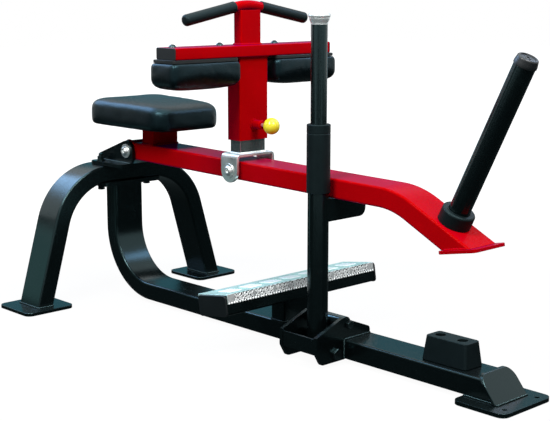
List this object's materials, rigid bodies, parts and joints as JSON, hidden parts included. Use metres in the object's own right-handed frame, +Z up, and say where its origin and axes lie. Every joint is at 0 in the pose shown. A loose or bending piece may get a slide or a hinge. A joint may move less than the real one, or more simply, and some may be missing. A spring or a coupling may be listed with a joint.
{
  "type": "seated calf raise machine",
  "caption": "plate-loaded seated calf raise machine with a pivoting arm, height-adjustable thigh pads, padded seat, foot bar and catch lever",
  "frame": {"origin": "on the floor, at the middle of the bounding box's footprint", "axes": "+X points to the front, where the weight horn is, +Y to the lifter's left, +Z up"},
  "size_m": [1.5716, 0.788, 0.8836],
  "materials": {
    "frame_black": "satin black powder coat",
    "arm_red": "gloss red powder coat",
    "zinc_plate": "bright zinc plate",
    "tread_aluminium": "mill finish with raised pads",
    "cap_chrome": "polished chrome",
    "black_rubber": "moulded matt rubber and foam",
    "black_plastic": "moulded black plastic",
    "black_vinyl": "grained black vinyl over foam",
    "knob_yellow": "glossy yellow ball"
  },
  "bodies": {
    "frame": {"base_tube": "frame_black", "front_end_plate": "frame_black", "front_foot_plate": "frame_black", "lower_clamp_plate": "frame_black", "arch_tube": "frame_black", "rear_foot_plate_left": "frame_black", "rear_foot_plate_right": "frame_black", "pivot_bracket": "frame_black", "clamp_bolt_left": "frame_black", "clamp_bolt_right": "frame_black", "arm_pivot_bolt": "zinc_plate", "riser_post": "frame_black", "foot_bar_tube": "frame_black", "tread_plate": "tread_aluminium", "foot_bar_end_plate_left": "black_plastic", "foot_bar_end_plate_right": "black_plastic", "bumper": "black_rubber", "bumper_bolt_rear": "zinc_plate", "bumper_bolt_front": "zinc_plate", "lever_bracket": "frame_black", "lever_pivot_bolt": "zinc_plate", "stop_bolt": "frame_black"},
    "arm": {"arm_tube": "arm_red", "arm_pivot_sleeve": "arm_red", "arm_end_plate": "arm_red", "weight_horn": "frame_black", "horn_collar": "black_rubber", "horn_end_cap": "black_plastic", "seat_post": "arm_red", "seat_mount_plate": "frame_black", "seat_cushion": "black_vinyl", "saddle_pivot_tube": "arm_red"},
    "saddle": {"saddle_bracket": "zinc_plate", "inner_post": "zinc_plate", "saddle_pivot_bolt": "zinc_plate"},
    "carriage": {"carriage_sleeve": "arm_red", "guide_liner": "black_plastic", "crossbar": "arm_red", "crossbar_end_cap_left": "black_plastic", "crossbar_end_cap_right": "black_plastic", "upper_post": "arm_red", "handlebar": "arm_red", "handlebar_grip_left": "black_rubber", "handlebar_grip_right": "black_rubber", "pad_board_left": "black_plastic", "pad_board_right": "black_plastic", "thigh_pad_left": "black_vinyl", "thigh_pad_right": "black_vinyl", "pad_bolt_left_inner": "frame_black", "pad_bolt_left_outer": "frame_black", "pad_bolt_right_inner": "frame_black", "pad_bolt_right_outer": "frame_black", "plunger_barrel": "arm_red"},
    "pull_pin": {"pull_pin": "zinc_plate", "pull_pin_knob": "knob_yellow"},
    "catch_lever": {"catch_lever_tube": "frame_black", "catch_lever_upper_tube": "frame_black", "catch_lever_sleeve": "black_rubber", "catch_lever_cap": "cap_chrome", "catch_hook": "frame_black"}
  },
  "joints": [
    {"name": "arm_lift", "type": "hinge", "parent": "frame", "child": "arm", "pos_m": [-0.5948, 0, 0.447], "axis": [0, -1, 0], "range_deg": [0, 15]},
    {"name": "saddle_tilt", "type": "hinge", "parent": "arm", "child": "saddle", "pos_m": [-0.13586, 0, 0.43931], "axis": [0, 1, 0], "range_deg": [-12, 12]},
    {"name": "carriage_height", "type": "slide", "parent": "saddle", "child": "carriage", "axis": [0, 0, 1], "range_m": [0, 0.125]},
    {"name": "pull_pin_draw", "type": "slide", "parent": "carriage", "child": "pull_pin", "axis": [1, 0, 0], "range_m": [0, 0.012], "stiffness_N_per_m": 800, "springref_m": -0.012},
    {"name": "catch_lever_swing", "type": "hinge", "parent": "frame", "child": "catch_lever", "pos_m": [0.2082, -0.07955, 0.029], "axis": [1, 0, 0], "range_deg": [0, 28]}
  ]
}
